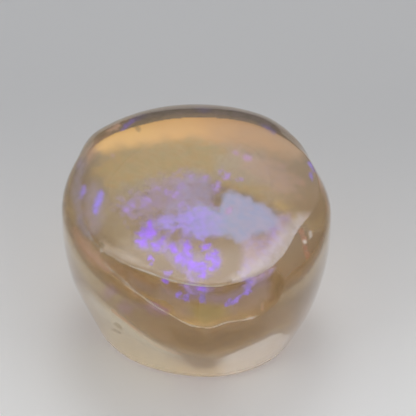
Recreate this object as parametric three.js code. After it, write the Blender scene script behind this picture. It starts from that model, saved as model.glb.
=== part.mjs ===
// A polished crystal opal, cut freehand as one solid stone.
// It stands on a flat ground foot. Its body is a barrel, widest near the top, whose shoulder
// rolls over to a large, gently domed table. Two runs of hand-ground faces cut across the
// front: a crown band between the table and the body, and a low bevel just above the foot.
// Millimetres, +Z up. The origin is at the foot, under the middle of the stone.
import * as THREE from "three";

// Driving dimensions, mm
const tableHeight = 6.6; // the table's rim above the foot
const tableDome = 0.3; // how far the middle of the table stands above its rim
const widestHeight = 5.4; // where the body is widest
const middleHeight = 3.4; // a point well inside, from which the skin is measured
const backShift = 0.24; // moves the widest box of the stone over the origin

// How full the body is: higher powers keep it full for longer before it turns in
const shoulderPower = 3.0;
const bellyPower = 2.1;
const domePower = 4.0;

// How softly the polishing has rounded each edge, mm
const crownEdgeSoftness = 0.1;
const bevelEdgeSoftness = 0.16;
const rimSoftness = 0.1;
const footSoftness = 0.2;

// The stone's measures round it, each as [azimuth, value] pairs that a smooth closed curve runs
// through. Azimuth is in degrees: 0 right, 90 back, 180 left and 270 front.
const outline = {
  // radius of the table's rim
  rim: [
    [0, 5.0], [25, 5.1], [60, 4.85], [90, 4.6], [115, 4.7], [145, 5.1], [180, 4.65],
    [218, 4.85], [245, 4.7], [262, 4.9], [283, 5.15], [305, 5.05], [335, 4.55],
  ],
  // radius of the body where it is widest
  girdle: [
    [0, 5.5], [22, 5.35], [45, 5.85], [65, 6.2], [90, 6.2], [132, 6.15], [152, 5.65],
    [168, 5.52], [200, 5.38], [232, 5.5], [270, 5.75], [310, 5.7], [345, 5.5],
  ],
  // radius of the flat foot
  foot: [[0, 4.3], [90, 4.5], [160, 4.2], [200, 4.1], [258, 3.8], [293, 4.05], [320, 4.25]],
  // height of the ridge where the ground crown face meets the body, and of the rim elsewhere
  crownEdge: [
    [218, 6.4], [232, 6.3], [245, 6.05], [258, 5.6], [270, 4.95], [276, 4.85],
    [283, 5.05], [293, 4.95], [304, 5.3], [311, 6.15], [320, 6.4],
  ],
  // height of the ridge where the low bevel meets the body
  bevelEdge: [
    [60, 0.5], [150, 0.5], [180, 1.2], [200, 3.0], [218, 4.3], [232, 4.25], [245, 3.85],
    [258, 3.25], [278, 2.55], [293, 3.05], [304, 3.2], [320, 2.0], [345, 0.8],
  ],
};

// How finely the skin is divided: columns round the stone, and rows down each of its bands
const columns = 120;
const rowsDown = { table: 7, crown: 4, body: 7, bevel: 5 };

// The slope of a smooth curve that doesn't overshoot, where a span before meets a span after
function slopeAt(spanBefore, riseBefore, spanAfter, riseAfter) {
  const before = riseBefore / spanBefore;
  const after = riseAfter / spanAfter;
  if (before * after <= 0) return 0;
  const weightBefore = 2 * spanAfter + spanBefore;
  const weightAfter = spanAfter + 2 * spanBefore;
  return (weightBefore + weightAfter) / (weightBefore / before + weightAfter / after);
}

// One measure at an azimuth. The pairs are a ring, so pair -1 is the last one, a turn back.
function valueAt(pairs, azimuth) {
  const pairAt = (index) => {
    const turns = Math.floor(index / pairs.length);
    const [angle, value] = pairs[index - turns * pairs.length];
    return [angle + 360 * turns, value];
  };
  const along = azimuth < pairs[0][0] ? azimuth + 360 : azimuth;
  let index = pairs.length - 1;
  while (pairs[index][0] > along) index -= 1;
  const [before, from, to, after] = [-1, 0, 1, 2].map((step) => pairAt(index + step));
  const span = to[0] - from[0];
  const rise = to[1] - from[1];
  const slopeIn = slopeAt(from[0] - before[0], from[1] - before[1], span, rise);
  const slopeOut = slopeAt(span, rise, after[0] - to[0], after[1] - to[1]);
  const t = (along - from[0]) / span;
  return (
    from[1] +
    rise * (3 * t ** 2 - 2 * t ** 3) +
    span * slopeIn * (t ** 3 - 2 * t ** 2 + t) +
    span * slopeOut * (t ** 3 - t ** 2)
  );
}

// All the stone's measures at an azimuth
function measuresAt(azimuth) {
  const measured = Object.entries(outline).map(([name, pairs]) => [name, valueAt(pairs, azimuth)]);
  return Object.fromEntries(measured);
}

// The body's radius at a height, before the ground bands cut it
function bodyRadius({ rim, girdle, foot }, height) {
  const up = Math.max(0, (height - widestHeight) / (tableHeight - widestHeight));
  const down = Math.min(1, Math.max(0, (widestHeight - height) / widestHeight));
  return girdle - (girdle - rim) * up ** shoulderPower - (girdle - foot) * down ** bellyPower;
}

// The larger of two values, eased where they meet, which rounds the edge between two faces
function softMax(a, b, softness) {
  const overlap = Math.max(softness - Math.abs(a - b), 0) / softness;
  return Math.max(a, b) + (overlap ** 2 * softness) / 4;
}

// Positive outside the stone and negative inside it, at a radius and height
function outside(measures, radius, height) {
  const { rim, foot, crownEdge, bevelEdge } = measures;
  const crownRadius = bodyRadius(measures, crownEdge);
  const bevelRadius = bodyRadius(measures, bevelEdge);
  const crownDrop = (tableHeight - height) / (tableHeight - crownEdge);
  const crownFace = rim + (crownRadius - rim) * crownDrop;
  const bevelFace = foot + (bevelRadius - foot) * (height / bevelEdge);
  const table = tableHeight + tableDome * (1 - (radius / rim) ** domePower);
  let result = radius - bodyRadius(measures, height);
  result = softMax(result, radius - crownFace, crownEdgeSoftness);
  result = softMax(result, radius - bevelFace, bevelEdgeSoftness);
  result = softMax(result, height - table, rimSoftness);
  return softMax(result, -height, footSoftness);
}

// The skin's point in a direction from the middle, found by halving the distance to it
function skinPoint(measures, azimuth, elevation) {
  let inner = 0;
  let outer = 2 * tableHeight;
  for (let step = 0; step < 40; step += 1) {
    const reach = (inner + outer) / 2;
    const height = middleHeight + reach * Math.sin(elevation);
    if (outside(measures, reach * Math.cos(elevation), height) < 0) inner = reach;
    else outer = reach;
  }
  const radius = inner * Math.cos(elevation);
  return new THREE.Vector3(
    radius * Math.cos(azimuth),
    radius * Math.sin(azimuth) - backShift,
    middleHeight + inner * Math.sin(elevation),
  );
}

// The directions of one column's rows: the bands' edges, and even steps between them
function columnElevations(measures) {
  const elevationOf = (radius, height) => Math.atan2(height - middleHeight, radius);
  const { rim, foot, crownEdge, bevelEdge } = measures;
  const edges = [
    Math.PI / 2,
    elevationOf(rim, tableHeight),
    elevationOf(bodyRadius(measures, crownEdge), crownEdge),
    elevationOf(bodyRadius(measures, bevelEdge), bevelEdge),
    elevationOf(foot, 0),
  ];
  const elevations = [];
  Object.values(rowsDown).forEach((rows, band) => {
    for (let row = 1; row <= rows; row += 1) {
      elevations.push(THREE.MathUtils.lerp(edges[band], edges[band + 1], row / rows));
    }
  });
  elevations.push(elevationOf(foot - footSoftness, 0));
  return elevations;
}

// The closed skin: one point at the middle of the table, rings of points down to the foot,
// and one point at the middle of the foot
function stoneGeometry() {
  const columnPoints = [];
  for (let column = 0; column < columns; column += 1) {
    const degrees = (360 * column) / columns;
    const azimuth = THREE.MathUtils.degToRad(degrees);
    const measures = measuresAt(degrees);
    const points = columnElevations(measures).map((e) => skinPoint(measures, azimuth, e));
    points[points.length - 1].z = 0;
    columnPoints.push(points);
  }
  const ringCount = columnPoints[0].length;
  const points = [new THREE.Vector3(0, -backShift, tableHeight + tableDome)];
  for (let ring = 0; ring < ringCount; ring += 1) {
    for (const column of columnPoints) points.push(column[ring]);
  }
  points.push(new THREE.Vector3(0, -backShift, 0));

  const vertex = (ring, column) => 1 + ring * columns + (column % columns);
  const bottom = points.length - 1;
  const triangles = [];
  for (let column = 0; column < columns; column += 1) {
    triangles.push(0, vertex(0, column), vertex(0, column + 1));
    for (let ring = 0; ring < ringCount - 1; ring += 1) {
      const [a, b] = [vertex(ring, column), vertex(ring, column + 1)];
      const [c, d] = [vertex(ring + 1, column), vertex(ring + 1, column + 1)];
      // Each four-sided patch is split on its shorter diagonal, which keeps ridges clean
      const shortAcross = points[b].distanceTo(points[c]) < points[a].distanceTo(points[d]);
      if (shortAcross) triangles.push(a, c, b, b, c, d);
      else triangles.push(a, c, d, a, d, b);
    }
    triangles.push(bottom, vertex(ringCount - 1, column + 1), vertex(ringCount - 1, column));
  }
  const geometry = new THREE.BufferGeometry().setFromPoints(points);
  geometry.setIndex(triangles);
  geometry.computeVertexNormals();
  return geometry;
}

// Honey-tinted, see-through opal with a glassy polish
const opalMaterial = new THREE.MeshStandardMaterial({
  color: new THREE.Color(0.72, 0.6, 0.44),
  roughness: 0.05,
  metalness: 0,
});

const stone = new THREE.Mesh(stoneGeometry(), opalMaterial);
stone.name = "crystal_opal";

const opal = new THREE.Group();
opal.add(stone);

export default opal;
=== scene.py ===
# Crystal opal: a loose honey-coloured stone with violet fire, finished around its CAD solid
import math

import bpy
import numpy as np
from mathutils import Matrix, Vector


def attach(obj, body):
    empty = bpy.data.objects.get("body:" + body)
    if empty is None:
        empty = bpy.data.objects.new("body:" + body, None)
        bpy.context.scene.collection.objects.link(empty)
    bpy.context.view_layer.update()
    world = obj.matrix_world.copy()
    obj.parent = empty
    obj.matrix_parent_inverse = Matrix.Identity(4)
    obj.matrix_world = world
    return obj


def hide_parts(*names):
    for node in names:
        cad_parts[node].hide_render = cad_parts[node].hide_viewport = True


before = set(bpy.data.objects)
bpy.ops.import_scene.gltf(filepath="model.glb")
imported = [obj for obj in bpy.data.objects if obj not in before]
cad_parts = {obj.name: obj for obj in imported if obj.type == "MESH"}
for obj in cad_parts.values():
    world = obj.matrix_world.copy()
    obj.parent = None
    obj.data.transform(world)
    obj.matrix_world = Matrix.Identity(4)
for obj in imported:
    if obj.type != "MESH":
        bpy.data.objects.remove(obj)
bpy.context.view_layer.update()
mm = 0.001
stoneNode = "crystal_opal"
view = {
    "imageSize": 416,
    "pixelsPerMm": 24.27,
    "elevation": 45.0,  # degrees that the camera looks down by
    "lens": 600.0,  # mm
    "sensor": 36.0,
    "originPixel": (196.0, 305.9),  # where the stone's origin shows in the picture
}
tilt = math.radians(view["elevation"])
towardsEye = np.array([0, -math.cos(tilt), math.sin(tilt)])
upInView = np.array([0, math.sin(tilt), math.cos(tilt)])
rightInView = np.array([1.0, 0, 0])
eyeDistance = view["imageSize"] / view["pixelsPerMm"] * view["lens"] / view["sensor"]
middlePixel = view["imageSize"] / 2
pixelsPerMetre = view["pixelsPerMm"] / mm
farAway = 1e9  # pixels


# A place in the plane through the origin that faces the camera, mm, from its pixel
def facingPlace(column, row):
    across = np.asarray(column - view["originPixel"][0], float) / view["pixelsPerMm"]
    up = np.asarray(view["originPixel"][1] - row, float) / view["pixelsPerMm"]
    return across[..., None] * rightInView + up[..., None] * upInView


eye = facingPlace(middlePixel, middlePixel) + towardsEye * eyeDistance
print("frame loaded:", ", ".join(sorted(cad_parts)))


# One socket of a node tree. Python's operators on it add the node that does the sum
class Wire:
    def __init__(self, maker, socket):
        self.maker = maker
        self.socket = socket

    def sum(self, operation, first, second):
        values = [first, second]
        inColour = any(isinstance(v, Wire) and v.socket.type in ("RGBA", "VECTOR") for v in values)
        if not inColour:
            return self.maker.add("ShaderNodeMath", {"operation": operation}, dict(enumerate(values)))
        spread = [v if isinstance(v, Wire) or hasattr(v, "__len__") else (v, v, v) for v in values]
        return self.maker.add("ShaderNodeVectorMath", {"operation": operation}, dict(enumerate(spread)))

    def __add__(self, other):
        return self.sum("ADD", self, other)

    def __radd__(self, other):
        return self.sum("ADD", other, self)

    def __sub__(self, other):
        return self.sum("SUBTRACT", self, other)

    def __rsub__(self, other):
        return self.sum("SUBTRACT", other, self)

    def __mul__(self, other):
        return self.sum("MULTIPLY", self, other)

    def __rmul__(self, other):
        return self.sum("MULTIPLY", other, self)

    def __abs__(self):
        return self.maker.add("ShaderNodeMath", {"operation": "ABSOLUTE"}, {0: self})


# A node tree being wired: a new material's, or the world's
class Wiring:
    def __init__(self, tree):
        self.tree = tree
        self.tree.nodes.clear()

    # any node: its settings go in first, then the values or links of its sockets
    def add(self, kind, settings=None, sockets=None, output=0):
        node = self.tree.nodes.new(kind)
        for name, value in (settings or {}).items():
            if name == "stops":
                self.setStops(node.color_ramp, value)
            else:
                setattr(node, name, value)
        for name, value in (sockets or {}).items():
            if isinstance(value, Wire):
                self.tree.links.new(value.socket, node.inputs[name])
            elif hasattr(value, "__len__") and node.inputs[name].type == "RGBA" and len(value) == 3:
                node.inputs[name].default_value = (*value, 1)
            else:
                node.inputs[name].default_value = value
        return Wire(self, node.outputs[output]) if node.outputs else node

    def setStops(self, ramp, stops):
        while len(ramp.elements) < len(stops):
            ramp.elements.new(0.5)
        for element, (place, colour) in zip(ramp.elements, stops):
            element.position = place
            element.color = (*colour, 1) if hasattr(colour, "__len__") else (colour, colour, colour, 1)

    # a smooth step from 0 to 1 as value goes from low to high
    def ease(self, value, low, high):
        return self.add("ShaderNodeMapRange", {"interpolation_type": "SMOOTHSTEP"},
                        {"Value": value, "From Min": low, "From Max": high})

    # the same on a length, with its ends in millimetres
    def easeMm(self, value, low, high):
        return self.ease(value, low * mm, high * mm)

    # a place's distance along one axis: 0 across, 1 back, 2 up
    def along(self, place, axis):
        return self.add("ShaderNodeSeparateXYZ", {}, {"Vector": place}, output=axis)

    def mixColour(self, share, first, second):
        return self.add("ShaderNodeMix", {"data_type": "RGBA"}, {0: share, 6: first, 7: second}, output=2)

    def noise(self, place, scale, detail=2.0, roughness=0.5):
        return self.add("ShaderNodeTexNoise", {}, {"Vector": place, "Scale": scale, "Detail": detail,
                                                   "Roughness": roughness})

    # a value that the mesh keeps on its points
    def attribute(self, name):
        return self.add("ShaderNodeAttribute", {"attribute_name": name}, output=2)


def newMaterial(name):
    material = bpy.data.materials.new(name)
    material.use_nodes = True
    return material, Wiring(material.node_tree)


def placeInStone(wiring):  # the point in the stone's own frame, in metres
    return wiring.add("ShaderNodeTexCoord", output=3)


# The stone's skin
stoneForm = {
    "tableHeight": 6.6,  # mm, the table's rim above the foot
    "tableDome": 0.3,
    "widestHeight": 5.4,
    "middleHeight": 3.4,  # of the point from which the skin is found
    "backShift": 0.24,  # how far the origin lies behind the stone's upright middle
    "shoulderPower": 3.0,
    "bellyPower": 2.1,
    "domePower": 4.0,
    "softness": {"crownEdge": 0.07, "bevelEdge": 0.12, "rim": 0.07, "foot": 0.2},
    # measures round the stone as (azimuth, mm), 0 right, 90 back, 180 left, 270 front: three
    # distances from the middle, and the heights of two edges
    "rim": [(0, 5.0), (25, 5.1), (60, 4.85), (90, 4.6), (115, 4.7), (145, 5.1), (180, 4.65),
            (218, 4.85), (245, 4.7), (262, 4.9), (283, 5.15), (305, 5.05), (335, 4.55)],
    "girdle": [(0, 5.5), (22, 5.35), (45, 5.85), (65, 6.2), (90, 6.2), (132, 6.15), (152, 5.65),
               (168, 5.52), (200, 5.38), (232, 5.5), (270, 5.75), (310, 5.7), (345, 5.5)],
    "foot": [(0, 4.3), (90, 4.5), (160, 4.2), (200, 4.1), (258, 3.8), (293, 4.05), (320, 4.25)],
    "crownEdge": [(218, 6.4), (232, 6.3), (245, 6.05), (258, 5.6), (270, 4.95), (276, 4.85), (283, 5.05),
                  (293, 4.95), (304, 5.3), (311, 6.15), (320, 6.4)],
    "bevelEdge": [(60, 0.5), (150, 0.5), (180, 1.2), (200, 3.0), (218, 4.3), (232, 4.25), (245, 3.85),
                  (258, 3.25), (278, 2.55), (293, 3.05), (304, 3.2), (320, 2.0), (345, 0.8)],
    "columns": 560,
    "rowsDown": {"table": 48, "crown": 34, "body": 40, "bevel": 34, "foot": 8},
    "crowding": 0.8,  # how much the rows crowd towards the edges between two bands
    "halvings": 40,  # how often the distance to the skin is halved to find it
}
sight = {  # how a line of sight is followed to the skin
    "startsBefore": 12.0,  # mm before the stone's origin
    "steps": 80,
    "longestStep": 0.35,  # mm, short enough not to pass the skin and back
    "eagerness": 0.7,
    "slopeReach": 0.01,  # mm to either side of a point, over which the skin's slope is taken
    "meets": 0.01,  # mm from the skin within which a line has met it
    "meetsFinely": 0.001,
}


# A smooth closed curve through (azimuth, value) pairs, that doesn't overshoot them
def curveAt(pairs, azimuth):
    angles = np.array([p[0] for p in pairs] + [pairs[0][0] + 360], float)
    values = np.array([p[1] for p in pairs] + [pairs[0][1]], float)
    span = np.diff(angles)
    grade = np.diff(values) / span
    gradeBefore, spanBefore = np.roll(grade, 1), np.roll(span, 1)
    weightBefore, weightAfter = 2 * span + spanBefore, span + 2 * spanBefore
    sameWay = grade * gradeBefore > 0
    safe = np.where(sameWay, grade, 1)
    safeBefore = np.where(sameWay, gradeBefore, 1)
    slope = (weightBefore + weightAfter) / (weightBefore / safeBefore + weightAfter / safe)
    slope = np.where(sameWay, slope, 0)
    slope = np.append(slope, slope[0])
    along = np.where(azimuth < angles[0], azimuth + 360, azimuth)
    i = np.clip(np.searchsorted(angles, along, side="right") - 1, 0, len(span) - 1)
    t = (along - angles[i]) / span[i]
    return (values[i] + (values[i + 1] - values[i]) * (3 * t**2 - 2 * t**3)
            + span[i] * slope[i] * (t**3 - 2 * t**2 + t) + span[i] * slope[i + 1] * (t**3 - t**2))


def measuresAt(azimuth):
    names = ("rim", "girdle", "foot", "crownEdge", "bevelEdge")
    return {name: curveAt(stoneForm[name], azimuth) for name in names}


def bodyRadius(measures, height):
    f = stoneForm
    up = np.clip((height - f["widestHeight"]) / (f["tableHeight"] - f["widestHeight"]), 0, None)
    down = np.clip((f["widestHeight"] - height) / f["widestHeight"], 0, 1)
    return (measures["girdle"] - (measures["girdle"] - measures["rim"]) * up ** f["shoulderPower"]
            - (measures["girdle"] - measures["foot"]) * down ** f["bellyPower"])


# the larger of two values, eased where they meet
def softMax(a, b, softness):
    overlap = np.maximum(softness - np.abs(a - b), 0) / softness
    return np.maximum(a, b) + overlap**2 * softness / 4


# positive outside the stone, negative inside it
def outsideStone(measures, radius, height):
    f = stoneForm
    rim, foot = measures["rim"], measures["foot"]
    crownEdge, bevelEdge = measures["crownEdge"], measures["bevelEdge"]
    crownDrop = (f["tableHeight"] - height) / (f["tableHeight"] - crownEdge)
    crownFace = rim + (bodyRadius(measures, crownEdge) - rim) * crownDrop
    bevelFace = foot + (bodyRadius(measures, bevelEdge) - foot) * height / bevelEdge
    table = f["tableHeight"] + f["tableDome"] * (1 - (radius / rim) ** f["domePower"])
    result = radius - bodyRadius(measures, height)
    result = softMax(result, radius - crownFace, f["softness"]["crownEdge"])
    result = softMax(result, radius - bevelFace, f["softness"]["bevelEdge"])
    result = softMax(result, height - table, f["softness"]["rim"])
    return softMax(result, -height, f["softness"]["foot"])


# the azimuth of points in the stone's frame, and how far they are from its upright middle
def roundStone(points):
    x, y = points[..., 0], points[..., 1] + stoneForm["backShift"]
    return np.degrees(np.arctan2(y, x)) % 360, np.hypot(x, y)


# how far the skin is from the middle point, along each elevation of each column
def reachOfSkin(measures, elevation):
    inner = np.zeros_like(elevation)
    outer = np.full_like(elevation, 2 * stoneForm["tableHeight"])
    for _ in range(stoneForm["halvings"]):
        reach = (inner + outer) / 2
        height = stoneForm["middleHeight"] + reach * np.sin(elevation)
        isInside = outsideStone(measures, reach * np.cos(elevation), height) < 0
        inner = np.where(isInside, reach, inner)
        outer = np.where(isInside, outer, reach)
    return inner


# positive at points of the stone's frame that are outside it
def outsideAt(points):
    azimuth, radius = roundStone(points)
    return outsideStone(measuresAt(azimuth), radius, points[..., 2])


def outwardAt(points):
    reach = sight["slopeReach"]
    slopes = [outsideAt(points + reach * axis) - outsideAt(points - reach * axis) for axis in np.eye(3)]
    normal = np.stack(slopes, axis=-1)
    return normal / np.linalg.norm(normal, axis=-1, keepdims=True)


# Where the camera's line through a pixel meets the skin, its direction inside the stone, and
# how squarely it meets the skin
def lookInto(column, row):
    along = facingPlace(column, row) - eye
    along = along / np.linalg.norm(along, axis=-1, keepdims=True)
    reach = np.full(along.shape[:-1], eyeDistance - sight["startsBefore"])
    longest = sight["longestStep"]
    for _ in range(sight["steps"]):
        gap = outsideAt(eye + along * reach[..., None])
        reach = reach + sight["eagerness"] * np.clip(gap, -longest, longest)
    skin = eye + along * reach[..., None]
    normal = outwardAt(skin)
    facing = -(along * normal).sum(-1, keepdims=True)
    ratio = 1 / clearOpal["ior"]
    inside = ratio * along + (ratio * facing - np.sqrt(1 - ratio**2 * (1 - facing**2))) * normal
    return skin, inside, facing[..., 0]


def skinPoints():
    f = stoneForm
    azimuth = np.arange(f["columns"]) * 360 / f["columns"]
    measures = measuresAt(azimuth)
    elevationOf = lambda radius, height: np.arctan2(height - f["middleHeight"], radius)
    edges = [
        np.full(f["columns"], math.pi / 2),
        elevationOf(measures["rim"], f["tableHeight"]),
        elevationOf(bodyRadius(measures, measures["crownEdge"]), measures["crownEdge"]),
        elevationOf(bodyRadius(measures, measures["bevelEdge"]), measures["bevelEdge"]),
        elevationOf(measures["foot"], 0),
        np.full(f["columns"], -math.pi / 2),
    ]
    elevation = []
    for band, rows in enumerate(f["rowsDown"].values()):
        for row in range(rows):
            share = (row + 1) / rows
            share -= f["crowding"] * math.sin(2 * math.pi * share) / (2 * math.pi)
            elevation.append(edges[band] + (edges[band + 1] - edges[band]) * share)
    elevation = np.array(elevation[:-1])
    spread = {name: np.broadcast_to(value, elevation.shape) for name, value in measures.items()}
    reach = reachOfSkin(spread, elevation)
    radius = reach * np.cos(elevation)
    turn = np.radians(azimuth)
    return np.stack([radius * np.cos(turn), radius * np.sin(turn) - f["backShift"],
                     f["middleHeight"] + reach * np.sin(elevation)], axis=-1)


# 1 on a band of the stone's columns between two azimuths, fading out beside it
def columnBand(azimuth, start, end, fade):
    middle, half = (start + end) / 2, (end - start) / 2
    return np.clip((half + fade - np.abs(azimuth - middle)) / fade, 0, 1)


# how strong the painted highlight is along the ground edges: a thin pale line on the skin that stands in
# for the light the edges catch
def paintedEdgeHighlight(points):
    azimuth, radius = roundStone(points)
    height = points[..., 2]
    measures = measuresAt(azimuth)
    edgeHighlightStrength = np.zeros_like(radius)
    for edge, start, end, share in clearOpal["highlightedEdges"]:
        edgeHeight = stoneForm["tableHeight"] if edge == "rim" else measures[edge]
        edgeRadius = measures["rim"] if edge == "rim" else bodyRadius(measures, edgeHeight)
        away = np.hypot(radius - edgeRadius, height - edgeHeight) - clearOpal["highlightFlat"]
        away = np.maximum(away, 0)
        along = columnBand(azimuth, start, end, clearOpal["highlightRunOut"])
        edgeHighlightStrength = np.maximum(edgeHighlightStrength, share * along * np.exp(-(away / clearOpal["highlightWidth"]) ** 2))
    return edgeHighlightStrength


# how many pixels inside an outline a place of the picture is, below 0 outside it
def insideOutline(outline, column, row):
    corners = np.array(outline, float)
    nearest = np.full(column.shape, farAway)
    isInside = np.zeros(column.shape, bool)
    for (x0, y0), (x1, y1) in zip(corners, np.roll(corners, -1, axis=0)):
        along = ((column - x0) * (x1 - x0) + (row - y0) * (y1 - y0)) / ((x1 - x0)**2 + (y1 - y0)**2)
        along = np.clip(along, 0, 1)
        away = np.hypot(column - x0 - along * (x1 - x0), row - y0 - along * (y1 - y0))
        nearest = np.minimum(nearest, away)
        if y0 != y1:
            crosses = (row >= min(y0, y1)) & (row < max(y0, y1))
            isInside ^= crosses & (column < x0 + (row - y0) * (x1 - x0) / (y1 - y0))
    return np.where(isInside, nearest, -nearest)


# 0 on the polished faces, 1 low on the back and on the foot
def dullOf(points):
    share = lambda value, start, full: np.clip((value - start) / (full - start), 0, 1)
    back, height = points[..., 1], points[..., 2]
    lowDown = share(height, *clearOpal["dullBelow"]) * share(back, *clearOpal["dullBehind"])
    return np.maximum(lowDown, share(height, *clearOpal["dullFoot"]))


# rings of points closed by one point at the top and one at the bottom, as one mesh
def ringMesh(name, rings, top, bottom):
    ringCount, columns = rings.shape[:2]
    points = np.vstack([[top], rings.reshape(-1, 3), [bottom]]) * mm
    vertex = lambda ring, column: 1 + ring * columns + column % columns
    faces = []
    for column in range(columns):
        faces.append((0, vertex(0, column), vertex(0, column + 1)))
        for ring in range(ringCount - 1):
            faces.append((vertex(ring, column), vertex(ring + 1, column),
                          vertex(ring + 1, column + 1), vertex(ring, column + 1)))
        faces.append((len(points) - 1, vertex(ringCount - 1, column + 1), vertex(ringCount - 1, column)))
    mesh = bpy.data.meshes.new(name)
    mesh.from_pydata(points.tolist(), [], faces)
    mesh.shade_smooth()
    return mesh


# a value for each of the mesh's points, which its material reads by name
def keepOnPoints(mesh, name, values):
    attribute = mesh.attributes.new(name, "FLOAT", "POINT")
    attribute.data.foreach_set("value", values.astype(np.float32))


def addPiece(name, mesh, material):
    piece = bpy.data.objects.new(name, mesh)
    bpy.context.scene.collection.objects.link(piece)
    piece.data.materials.append(material)
    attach(piece, "root")
    return piece


clearOpal = {
    "ior": 1.45,
    "polish": 0.2,  # roughness of the table and the crown face
    "dullness": 0.2,  # how much rougher the back, the belly and the foot are
    "dullBelow": (5.2, 4.6),  # mm up, where the dull back starts and where it is full
    "dullBehind": (0.0, 2.5),  # mm back from the middle
    "dullFoot": (0.6, 0.2),  # mm up
    "coatRoughness": 0.03,
    "transmission": 1.0,
    "tints": [(0.25, (1.0, 0.985, 0.93)), (0.55, (1.0, 0.955, 0.93)), (0.8, (1.0, 0.95, 0.97))],
    "tintPatch": 180.0,  # the noise's scale, per metre
    "tintDrift": 50.0,  # how fast the tints drift from left to right, per metre
    "sideTint": (0.40, 0.26, 0.14),  # the browner zones low on the left and the right
    "sideFrom": (3.3, 5.0),  # mm from the middle, where they start and are full
    "sideBelow": (5.8, 4.4),  # mm up
    "sideForward": (1.0, -2.0),  # mm back from the middle
    "absorbColour": (0.735, 0.53, 0.0),  # what the depth of the stone lets through
    "absorbDensity": 116.0,  # per metre
    "highlightColour": (0.82, 0.77, 0.70),  # painted highlight: the pale colour of the thin lines along the ground edges
    "highlightLineShare": 0.85,
    "highlightRoughness": 0.35,
    "highlightWidth": 0.028,  # mm
    "highlightFlat": 0.012,  # mm to each side of the edge where the painted highlight is strongest
    "highlightRunOut": 8,  # degrees over which the painted highlight ends
    "highlightPatch": 2600.0,  # the noise's scale, per metre, and where it starts and is full
    "highlightPatchFrom": (0.15, 0.6),
    # edge, first and last azimuth, how strong its painted highlight is
    "highlightedEdges": [("rim", 240, 252, 1.0), ("rim", 258, 280, 1.0), ("rim", 205, 300, 0.3),
                  ("crownEdge", 268, 282, 1.0), ("crownEdge", 250, 291, 0.75),
                  ("crownEdge", 230, 291, 0.4), ("bevelEdge", 215, 310, 0.2)],
}


def makeClearOpal():
    material, wiring = newMaterial("clearOpal")
    place = placeInStone(wiring)
    across, back, rise = (wiring.along(place, axis) for axis in range(3))
    zone = across * clearOpal["tintDrift"] + wiring.noise(place, clearOpal["tintPatch"], detail=1.0)
    tint = wiring.add("ShaderNodeValToRGB", {"stops": clearOpal["tints"]}, {"Fac": zone})
    atSide = wiring.easeMm(abs(across), *clearOpal["sideFrom"])
    atSide = atSide * wiring.easeMm(rise, *clearOpal["sideBelow"])
    atSide = atSide * wiring.easeMm(back, *clearOpal["sideForward"])
    tint = wiring.mixColour(atSide, tint, clearOpal["sideTint"])
    surface = wiring.add("ShaderNodeBsdfPrincipled", {}, {
        "Base Color": tint,
        "Roughness": wiring.attribute("dull") * clearOpal["dullness"] + clearOpal["polish"],
        "IOR": clearOpal["ior"],
        "Transmission Weight": clearOpal["transmission"],
        "Coat Weight": 1.0,
        "Coat Roughness": clearOpal["coatRoughness"],
        "Coat IOR": clearOpal["ior"],
    })
    # painted highlight: a pale, rougher surface mixed in along the ground edges, in patches, for the light
    # that the edges catch
    patchy = wiring.ease(wiring.noise(place, clearOpal["highlightPatch"]), *clearOpal["highlightPatchFrom"])
    edgeHighlightSurface = wiring.add("ShaderNodeBsdfPrincipled", {}, {
        "Base Color": clearOpal["highlightColour"],
        "Roughness": clearOpal["highlightRoughness"],
        "IOR": clearOpal["ior"],
    })
    edgeHighlightShare = wiring.attribute("edge") * patchy * clearOpal["highlightLineShare"]
    surface = wiring.add("ShaderNodeMixShader", {}, {0: edgeHighlightShare, 1: surface, 2: edgeHighlightSurface})
    depth = wiring.add("ShaderNodeVolumeAbsorption", {}, {
        "Color": clearOpal["absorbColour"],
        "Density": clearOpal["absorbDensity"],
    })
    wiring.add("ShaderNodeOutputMaterial", {}, {"Surface": surface, "Volume": depth})
    return material


def makeStone():
    f = stoneForm
    top = (0, -f["backShift"], f["tableHeight"] + f["tableDome"])
    rings = skinPoints()
    mesh = ringMesh("opalStone", rings, top, (0, -f["backShift"], 0))
    for name, values in (("edge", paintedEdgeHighlight(rings)), ("dull", dullOf(rings))):
        keepOnPoints(mesh, name, np.concatenate([[0], values.ravel(), values[-1, :1]]))
    stone = addPiece("opalStone", mesh, makeClearOpal())
    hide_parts(stoneNode)
    return stone


stone = makeStone()
print("stone made:", len(stone.data.polygons), "faces")

# The fire, and the painted light, shade, highlights and reflections that go with it, which are all thin
# sheets of colour inside the stone. Each outline is traced as it shows in the picture, in pixels, and its
# sheet lies where the camera's lines through those pixels reach once the skin has bent them
fire = {
    "thickness": 0.018,  # mm
    "wave": 0.1,  # mm, how far the sheets are from flat
    "waveTurns": (1.3, 1.7),  # radians per mm, to the right and to the back
    "waveStart": 1.0,  # radians
    "seed": 7,
    "skinGap": 0.03,  # mm from the skin within which a sheet is drawn back
    "drawnBack": 0.75,  # how much of its way through the stone it then keeps, each time
    "drawingsBack": 12,
    "faceMargin": 0.02,  # mm from the edge of the one face that it keeps to
    "joinRounds": 20,  # at the most, until no two cells of its grid touch at a corner alone
    "room": 2.0,  # pixels of grid round a sheet
    "lookPast": 3.0,  # pixels past its edge that lines of sight are followed for
    "frayRoom": 0.2,  # share of the fray that its mesh goes past its edge
    "rimDepth": 2.0,  # pixels inside the edge, from where a point isn't moved to it
    "rimReach": 0.2,  # pixels to either side for the slope, and the share of a cell that it moves by
    "rimRounds": 3,
    "rimFlattest": 0.05,  # the least square of a slope that a move is worked out with
    "patchGrain": 6.0,  # pixels across the patches of a sheet's two colours
    "patchFrom": (0.38, 0.62),
    "runPatch": 600.0,  # the noise's scale, per metre, where a colour runs from left to right
    "runSway": 0.5,
    "streakTurn": -35.0,  # degrees
    "streakSize": (0.5, 0.09),  # mm
    "streakFrom": (0.35, 0.7),
}
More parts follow.
